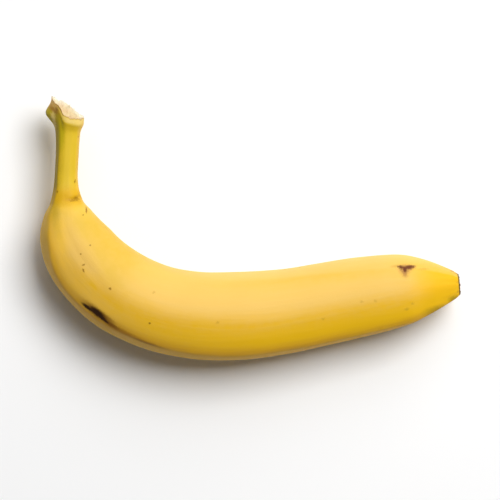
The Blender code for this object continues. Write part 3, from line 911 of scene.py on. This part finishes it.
def peel_material(blemish, mottle):
    """Ripe peel: mottled yellow, greener at the stem, with bruises, scars, specks and a fine waxy grain, and
    with a painted sheen, painted light and painted shade on some faces.
    """
    made, tree, shader = new_material("ripe_peel")
    straight = attribute(tree, "straight", "Vector")
    flat = add_node(tree, "ShaderNodeUVMap", uv_map="peel_map").outputs["UV"]
    station = add_node(tree, "ShaderNodeSeparateXYZ", {0: straight}).outputs["X"]
    clouds = use_group(tree, mottle, {"Place": straight, **PEEL_MOTTLE})

    colour = blend_colour(tree, clouds["Patches"], YELLOW, YELLOW_WARM)
    colour = blend_colour(tree, share_of(tree, clouds["Streaks"], STREAK_TINT), colour, YELLOW_PALE_AND_SHEEN)
    # Painted sheen, the bend's tint, painted light, and orange painted shade
    for name, shade in UPPER_TINTS:
        colour = blend_colour(tree, attribute(tree, name), colour, shade)
    colour = blend_colour(tree, share_of(tree, clouds["Spots"], SPOT_TINT), colour, YELLOW_PALE_AND_SHEEN)
    towards_end = share_of(tree, attribute(tree, "below"), soft_step(tree, station, *END_TINT))
    colour = blend_colour(tree, towards_end, colour, YELLOW_END)
    # A deeper yellow that is partly painted light, painted light on the sides that turn under, and the stem's
    # olive
    for name, shade in SIDE_TINTS:
        colour = blend_colour(tree, attribute(tree, name), colour, shade)
    colour = blend_colour(tree, share_of(tree, attribute(tree, "crest"), CREST_TINT), colour, OCHRE)
    # Painted shade and slight browning along the outer ridge, uneven with the streaks
    streaky = soft_step(tree, clouds["Streaks"], 0.0, 1.0, *SHADE_RANGE)
    along_ridge = share_of(tree, attribute(tree, "ridge_shade"), streaky)
    colour = blend_colour(tree, along_ridge, colour, RIDGE_BROWN_AND_PAINTED_SHADE)

    wobble = noise(tree, straight, *WOBBLE)["Color"]
    centred = calculate_vector(tree, "SUBTRACT", wobble, (0.5, 0.5, 0.5))
    wander = {}
    for reach in (SLIGHT, STRONG):
        wander[reach] = calculate_vector(tree, "MULTIPLY", centred, (reach, reach, 0.0))
    dark = None
    for marks, edge, reach, shade, strength in MARK_LAYERS:
        mask = blemish_mask(tree, blemish, flat, wander[reach], marks, edge)
        colour = blend_colour(tree, share_of(tree, mask, strength), colour, shade)
        if marks in DARK_MARKS:
            dark = mask if dark is None else calculate(tree, "MAXIMUM", dark, mask)
    colour = blend_colour(tree, soft_step(tree, station, *DRY_RIM), colour, BROWN_DARK)
    colour = blend_colour(tree, soft_step(tree, station, *TORN_RIM), colour, BRUISE_BROWN)
    tree.links.new(colour, shader["Base Color"])

    roughness = soft_step(tree, clouds["Grain"], 0.0, 1.0, *PEEL_ROUGHNESS)
    roughness = calculate(tree, "ADD", roughness, share_of(tree, dark, DARK_ROUGHER))
    tree.links.new(roughness, shader["Roughness"])
    streaks_up = share_of(tree, clouds["Streaks"], STREAK_RAISE)
    height = calculate(tree, "ADD", share_of(tree, clouds["Grain"], GRAIN_RAISE), streaks_up)
    height = calculate(tree, "SUBTRACT", height, share_of(tree, dark, DARK_SINK))
    tree.links.new(bump(tree, height, PEEL_GRAIN_DEPTH), shader["Normal"])
    shader["Specular IOR Level"].default_value = PEEL_SPECULAR
    return made


def in_millimetres(tree):
    """The place on the piece, in millimetres."""
    place = add_node(tree, "ShaderNodeTexCoord").outputs["Object"]
    return calculate_vector(tree, "MULTIPLY", place, (1 / MM, 1 / MM, 1 / MM))


def flesh_material(mottle):
    """Torn flesh: cream and pinkish, tan at the top, whiter low down, browner at the peel, and matte."""
    made, tree, shader = new_material("torn_flesh")
    place = in_millimetres(tree)
    clouds = use_group(tree, mottle, {"Place": place, **FLESH_MOTTLE})
    colour = blend_colour(tree, clouds["Patches"], CREAM, PINKISH)
    colour = blend_colour(tree, share_of(tree, clouds["Streaks"], FLESH_STREAKS), colour, CREAM_PALE)
    height_up = add_node(tree, "ShaderNodeSeparateXYZ", {0: place}).outputs["Z"]
    colour = blend_colour(tree, soft_step(tree, height_up, *TAN_HEIGHTS), colour, FLESH_TAN)
    colour = blend_colour(tree, soft_step(tree, height_up, *WHITE_HEIGHTS), colour, FLESH_WHITE)
    edge = soft_step(tree, attribute(tree, "inward"), *FLESH_EDGE)
    colour = blend_colour(tree, edge, colour, BROWN)
    tree.links.new(colour, shader["Base Color"])
    roughness = soft_step(tree, clouds["Grain"], 0.0, 1.0, *FLESH_ROUGHNESS)
    tree.links.new(roughness, shader["Roughness"])
    height = calculate(tree, "ADD", clouds["Grain"], clouds["Streaks"])
    tree.links.new(bump(tree, height, FLESH_GRAIN_DEPTH), shader["Normal"])
    return made


def scar_material(mottle):
    """The dry flower end: nearly black with brown flecks, rough."""
    made, tree, shader = new_material("dry_scar")
    clouds = use_group(tree, mottle, {"Place": in_millimetres(tree), **SCAR_MOTTLE})
    colour = blend_colour(tree, clouds["Patches"], BLACK, BROWN_DARK)
    colour = blend_colour(tree, share_of(tree, clouds["Grain"], SCAR_FLECKS), colour, BROWN)
    tree.links.new(colour, shader["Base Color"])
    roughness = soft_step(tree, clouds["Streaks"], 0.0, 1.0, *SCAR_ROUGHNESS)
    tree.links.new(roughness, shader["Roughness"])
    tree.links.new(bump(tree, clouds["Grain"], SCAR_GRAIN_DEPTH), shader["Normal"])
    return made


def make_stage():
    """A wide, nearly white floor."""
    half = FLOOR_HALF
    corners = [(-half, -half, 0), (half, -half, 0), (half, half, 0), (-half, half, 0)]
    mesh = bpy.data.meshes.new("floor")
    mesh.from_pydata(corners, [], [(0, 1, 2, 3)])
    floor = bpy.data.objects.new("floor", mesh)
    bpy.context.scene.collection.objects.link(floor)
    made, tree, shader = new_material("pale_floor")
    shader["Base Color"].default_value = FLOOR_COLOUR
    shader["Roughness"].default_value = FLOOR_ROUGHNESS
    shader["Specular IOR Level"].default_value = FLOOR_SPECULAR
    mesh.materials.append(made)


def add_light(name, direction, distance, size, power):
    """A rectangular soft light that looks at the origin from that direction, with one side across it."""
    lamp = bpy.data.lights.new(name, "AREA")
    lamp.shape = "RECTANGLE"
    lamp.size, lamp.size_y = size
    lamp.energy = power
    light = bpy.data.objects.new(name, lamp)
    towards = Vector(direction).normalized()
    across = Vector((0, 1, 0)).cross(towards).normalized()
    turned = Matrix((across, towards.cross(across), towards)).transposed()
    light.matrix_world = Matrix.Translation(towards * distance) @ turned.to_4x4()
    light.visible_camera = False
    bpy.context.scene.collection.objects.link(light)


def light_scene():
    """A large soft light high on the right, a window behind, faint fills and a little white all round."""
    for values in LIGHTS:
        add_light(*values)
    world = bpy.data.worlds.new("studio")
    world.use_nodes = True
    background = world.node_tree.nodes["Background"].inputs
    background["Color"].default_value = (1.0, 1.0, 1.0, 1.0)
    background["Strength"].default_value = WORLD_STRENGTH
    bpy.context.scene.world = world
    bpy.context.scene.view_settings.view_transform = "Standard"


def make_camera():
    """A long lens straight above, framed as the photograph is."""
    lens = bpy.data.cameras.new("camera")
    lens.sensor_width = SENSOR
    lens.lens = SENSOR * CAMERA_DISTANCE / PHOTO_WIDTH
    camera = bpy.data.objects.new("camera", lens)
    camera.location = (*CAMERA_CENTRE, VIEW_HEIGHT + CAMERA_DISTANCE)
    bpy.context.scene.collection.objects.link(camera)
    bpy.context.scene.camera = camera


def dress(piece, finish):
    """Gives a piece its material and slot, and makes it ride with the fruit."""
    piece.data.materials.append(finish)
    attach(piece, "root")


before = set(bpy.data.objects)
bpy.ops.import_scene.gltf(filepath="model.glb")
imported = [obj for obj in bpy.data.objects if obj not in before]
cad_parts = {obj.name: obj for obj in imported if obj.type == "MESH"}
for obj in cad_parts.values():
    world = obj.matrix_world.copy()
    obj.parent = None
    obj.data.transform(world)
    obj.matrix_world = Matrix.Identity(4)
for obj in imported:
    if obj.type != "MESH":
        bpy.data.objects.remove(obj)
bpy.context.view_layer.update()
middle_shift = box_middle()
peel, peel_grid = make_peel(middle_shift)
flesh, flesh_grid = make_flesh(peel_grid[0], middle_shift)
fibres = make_fibres(flesh_grid)
scar = make_scar(peel_grid[-1])
blemish_nodes, mottle_nodes = blemish_group(), mottle_group()
torn = flesh_material(mottle_nodes)
dress(peel, peel_material(blemish_nodes, mottle_nodes))
dress(flesh, torn)
dress(fibres, torn)
dress(scar, scar_material(mottle_nodes))
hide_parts("banana")
make_stage()
light_scene()
make_camera()
